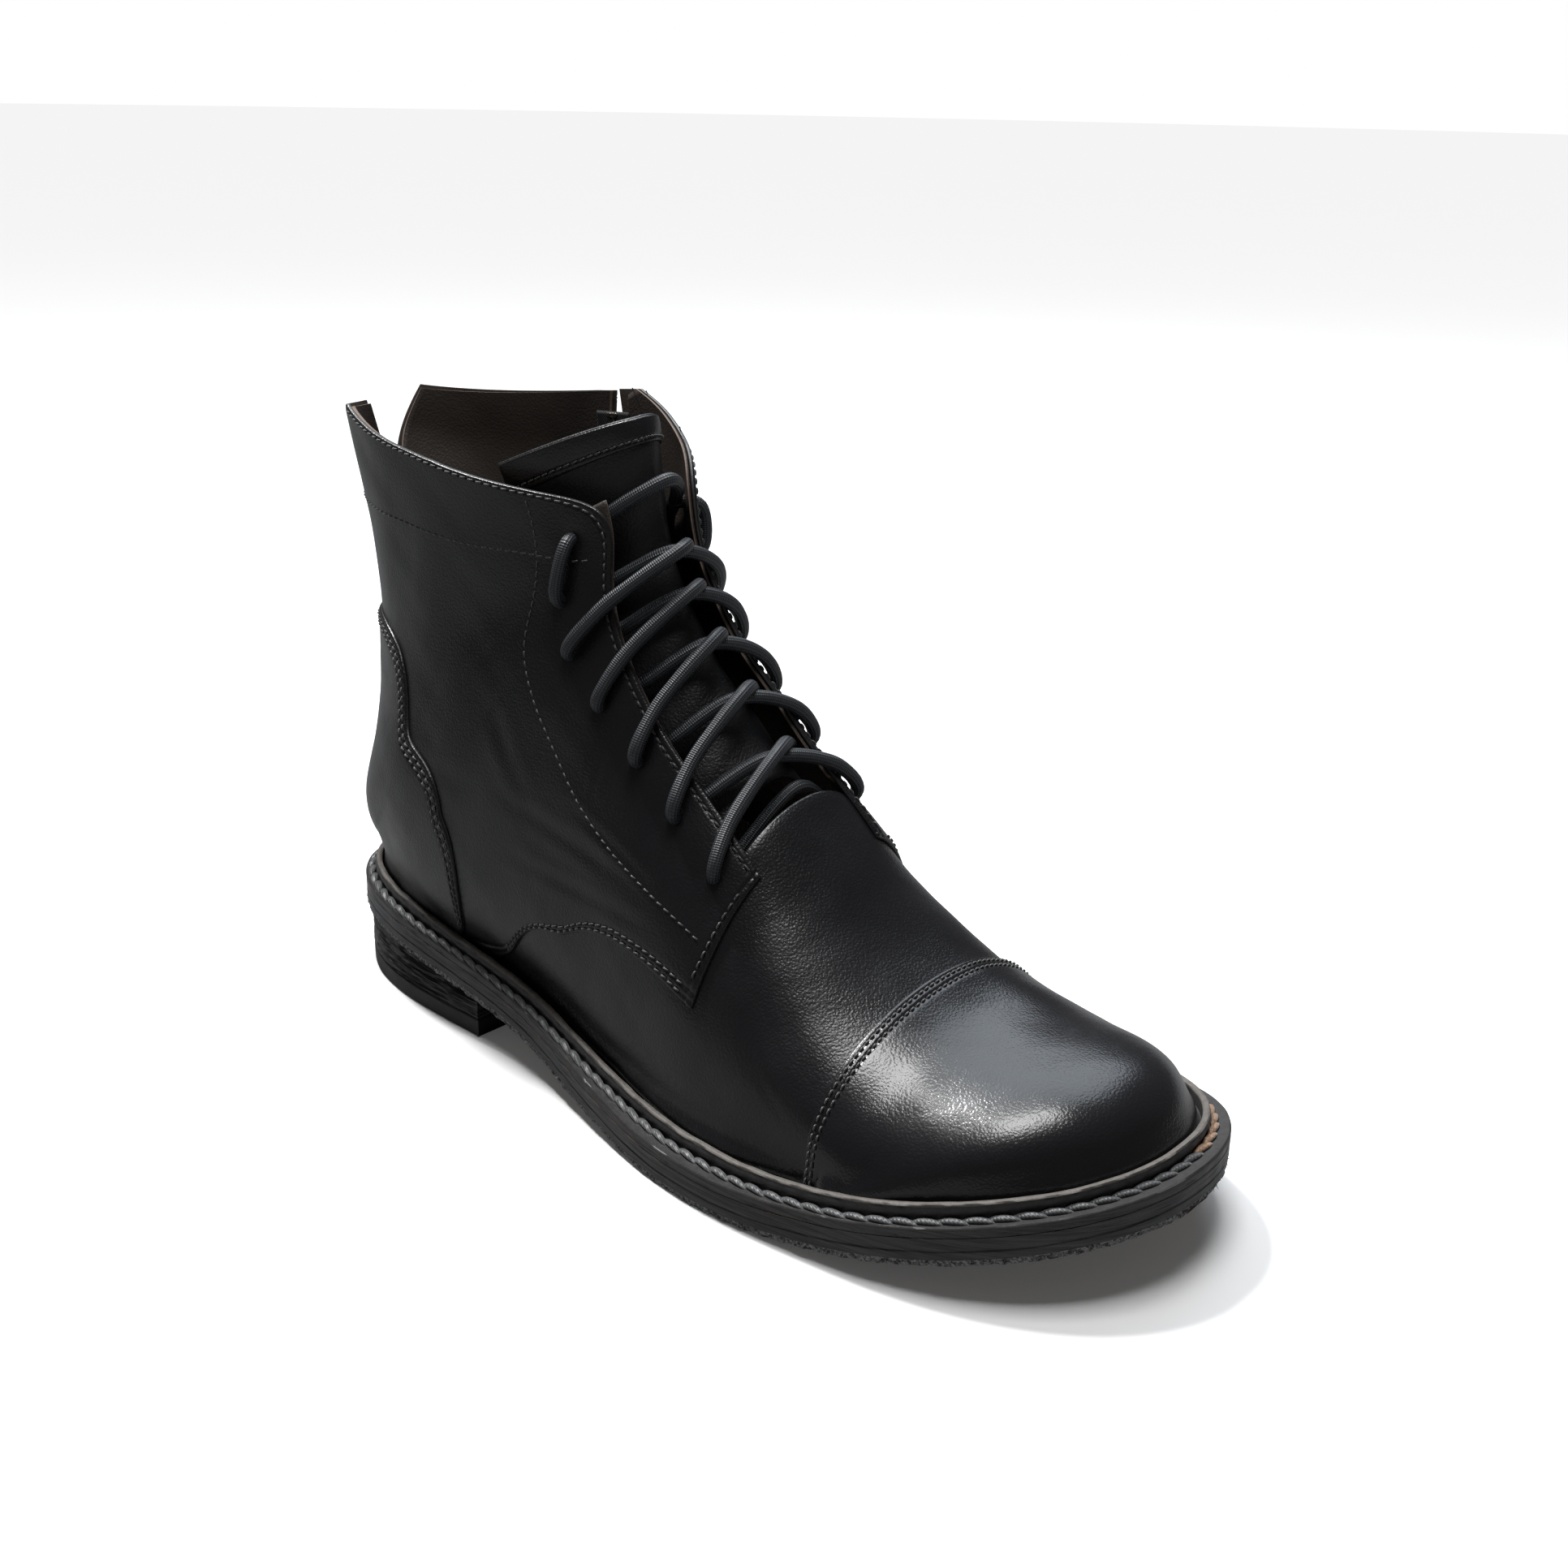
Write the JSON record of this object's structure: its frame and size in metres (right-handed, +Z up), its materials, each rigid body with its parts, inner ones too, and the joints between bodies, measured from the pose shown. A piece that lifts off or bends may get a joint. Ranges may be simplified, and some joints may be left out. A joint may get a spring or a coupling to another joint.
{
  "type": "leather ankle boot",
  "caption": "Right lace-up ankle boot in black leather: cap toe, open lacing, storm welt, stacked heel and inside zip.",
  "frame": {"origin": "middle of the sole's outline, on the ground", "axes": "+X towards the toe, +Y towards the inner side of this right boot, +Z up"},
  "size_m": [0.3091, 0.12, 0.1924],
  "materials": {
    "black_leather": "satin, fine grain, polished on the toe cap",
    "lining_leather": "matt, smooth",
    "sole_leather": "blackened and waxed edge, raw grey lower edge",
    "welt_leather": "blackened, grey-brown cut lip edge",
    "heel_leather": "ground stack, rough",
    "rubber": "smooth",
    "cork": "rough",
    "insole_board": "raw",
    "stiffener": "raw",
    "steel": "brushed",
    "brass": "dull",
    "lace": "waxed round cord",
    "aglet": "clear black",
    "zip_tape": "woven tape",
    "zip_metal": "dark plated"
  },
  "bodies": {
    "boot": {"outsole": "sole_leather", "midsole": "sole_leather", "welt": "welt_leather", "cork_filler": "cork", "shank": "steel", "insole": "insole_board", "sock_liner": "lining_leather", "heel_top_piece": "rubber", "heel_lift_lower": "heel_leather", "heel_lift_upper": "heel_leather", "heel_wedge": "heel_leather", "heel_nails": "brass", "toe_cap": "black_leather", "toe_puff": "stiffener", "vamp": "black_leather", "vamp_lining": "lining_leather", "lateral_quarter": "black_leather", "medial_quarter_front": "black_leather", "medial_quarter_rear": "black_leather", "counter_cover": "black_leather", "heel_counter": "stiffener", "lateral_facing": "lining_leather", "medial_facing": "lining_leather", "lateral_lining": "lining_leather", "medial_lining": "lining_leather", "lace": "lace", "lace_aglets": "aglet", "zip_tape_front": "zip_tape", "zip_tape_rear": "zip_tape", "zip_teeth_front": "zip_metal", "zip_teeth_rear": "zip_metal", "zip_stops": "zip_metal"},
    "tongue": {"tongue": "black_leather", "tongue_band": "black_leather"},
    "zip_slider": {"zip_slider": "zip_metal"},
    "zip_puller": {"zip_puller": "zip_metal"}
  },
  "joints": [
    {"name": "zip_slide", "type": "slide", "parent": "boot", "child": "zip_slider", "axis": [0.0871, -0.0454, -0.9952], "range_m": [0, 0.063]},
    {"name": "puller_swing", "type": "hinge", "parent": "zip_slider", "child": "zip_puller", "pos_m": [-0.07879, 0.03652, 0.17784], "axis": [0.9921, -0.0871, 0.0908], "range_deg": [0, 150]},
    {"name": "tongue_tilt", "type": "hinge", "parent": "boot", "child": "tongue", "pos_m": [0.0175, 0.0005, 0.0974], "axis": [0, -1, 0], "range_deg": [0, 10]}
  ]
}
